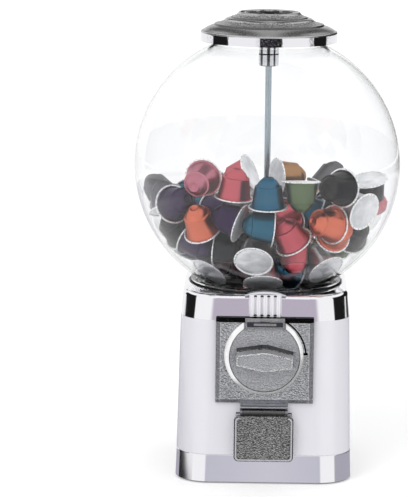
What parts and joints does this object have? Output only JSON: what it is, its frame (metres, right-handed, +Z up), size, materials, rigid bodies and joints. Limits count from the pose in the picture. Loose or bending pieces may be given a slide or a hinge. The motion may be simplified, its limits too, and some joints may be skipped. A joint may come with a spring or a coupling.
{
  "type": "capsule vending machine",
  "caption": "Tabletop globe vending machine: clear globe of coffee capsules, chromed cap and base, white body, coin dial and outlet flap.",
  "frame": {"origin": "middle of the foot plane, on the axis of the centre rod", "axes": "+Z up along the centre rod; the dial and the outlet face -Y; +X to the right seen from the front"},
  "size_m": [0.2549, 0.255, 0.4421],
  "materials": {
    "chrome_cap": "polished",
    "chrome_base": "polished",
    "white_paint": "gloss",
    "base_steel": "zinc plated",
    "rod_steel": "drawn",
    "foot_rubber": "matte",
    "gasket_rubber": "matte",
    "black_plastic": "satin",
    "wheel_plastic": "satin",
    "clear_globe": "clear",
    "cast_lid": "hammered",
    "lock_chrome": "polished",
    "lock_brass": "satin",
    "cast_zinc": "hammered",
    "bezel_chrome": "polished",
    "mech_steel": "plain",
    "bush_brass": "plain",
    "flap_cast": "hammered",
    "screw_steel": "plain",
    "capsule_black": "anodised",
    "capsule_blue": "anodised",
    "capsule_charcoal": "anodised",
    "capsule_crimson": "anodised",
    "capsule_gold": "anodised",
    "capsule_green": "anodised",
    "capsule_grey": "anodised",
    "capsule_orange": "anodised",
    "capsule_pink": "anodised",
    "capsule_purple": "anodised",
    "capsule_silver": "anodised",
    "capsule_teal": "anodised"
  },
  "bodies": {
    "machine": {"plinth": "chrome_base", "base_plate": "base_steel", "rubber_feet": "foot_rubber", "body_sleeve": "white_paint", "top_cap": "chrome_cap", "centre_rod": "rod_steel", "rod_washer": "screw_steel", "rod_nut": "screw_steel", "hopper": "black_plastic", "outlet_cover": "black_plastic", "cover_rivets": "screw_steel", "chute": "black_plastic", "globe_gasket": "gasket_rubber", "globe": "clear_globe", "mech_plate": "cast_zinc", "dial_bezel": "bezel_chrome", "coin_block": "cast_zinc", "coin_backplate": "mech_steel", "mech_housing": "cast_zinc", "shaft_bush": "bush_brass", "mech_clamp": "base_steel", "mech_screws": "screw_steel", "pawl_pin": "mech_steel", "pawl_spring": "mech_steel", "mouth_frame": "cast_zinc", "flap_pin": "mech_steel", "capsules_black": "capsule_black", "capsules_blue": "capsule_blue", "capsules_charcoal": "capsule_charcoal", "capsules_crimson": "capsule_crimson", "capsules_gold": "capsule_gold", "capsules_green": "capsule_green", "capsules_grey": "capsule_grey", "capsules_orange": "capsule_orange", "capsules_pink": "capsule_pink", "capsules_purple": "capsule_purple", "capsules_silver": "capsule_silver", "capsules_teal": "capsule_teal"},
    "lid": {"lid": "cast_lid", "lid_gasket": "gasket_rubber", "lock_body": "lock_chrome"},
    "lock": {"lock_barrel": "lock_brass"},
    "dial": {"dial": "cast_zinc", "dial_shaft": "mech_steel", "coin_carrier": "mech_steel", "ratchet_wheel": "mech_steel", "drive_pinion": "mech_steel"},
    "wheel": {"dispensing_wheel": "wheel_plastic", "crown_gear": "wheel_plastic"},
    "pawl": {"ratchet_pawl": "mech_steel"},
    "flap": {"flap": "flap_cast"}
  },
  "joints": [
    {"name": "dial_turn", "type": "hinge", "parent": "machine", "child": "dial", "pos_m": [0, -0.0885, 0.124], "axis": [0, 1, 0], "continuous": true},
    {"name": "wheel_turn", "type": "hinge", "parent": "machine", "child": "wheel", "pos_m": [0, 0, 0.142], "axis": [0, 0, 1], "continuous": true},
    {"name": "flap_swing", "type": "hinge", "parent": "machine", "child": "flap", "pos_m": [0, -0.0902, 0.071], "axis": [-1, 0, 0], "range_deg": [0, 70]},
    {"name": "pawl_swing", "type": "hinge", "parent": "machine", "child": "pawl", "pos_m": [0.027, -0.075, 0.1495], "axis": [0, 1, 0], "range_deg": [0, 6], "stiffness_Nm_per_rad": 0.002},
    {"name": "lid_lift", "type": "slide", "parent": "machine", "child": "lid", "axis": [0, 0, 1], "range_m": [0, 0.12]},
    {"name": "lock_turn", "type": "hinge", "parent": "lid", "child": "lock", "pos_m": [0, 0, 0.428], "axis": [0, 0, 1], "range_deg": [0, 90]}
  ],
  "couplings": [
    {"joint": "wheel_turn", "follows": "dial_turn", "ratio": 0.25}
  ]
}
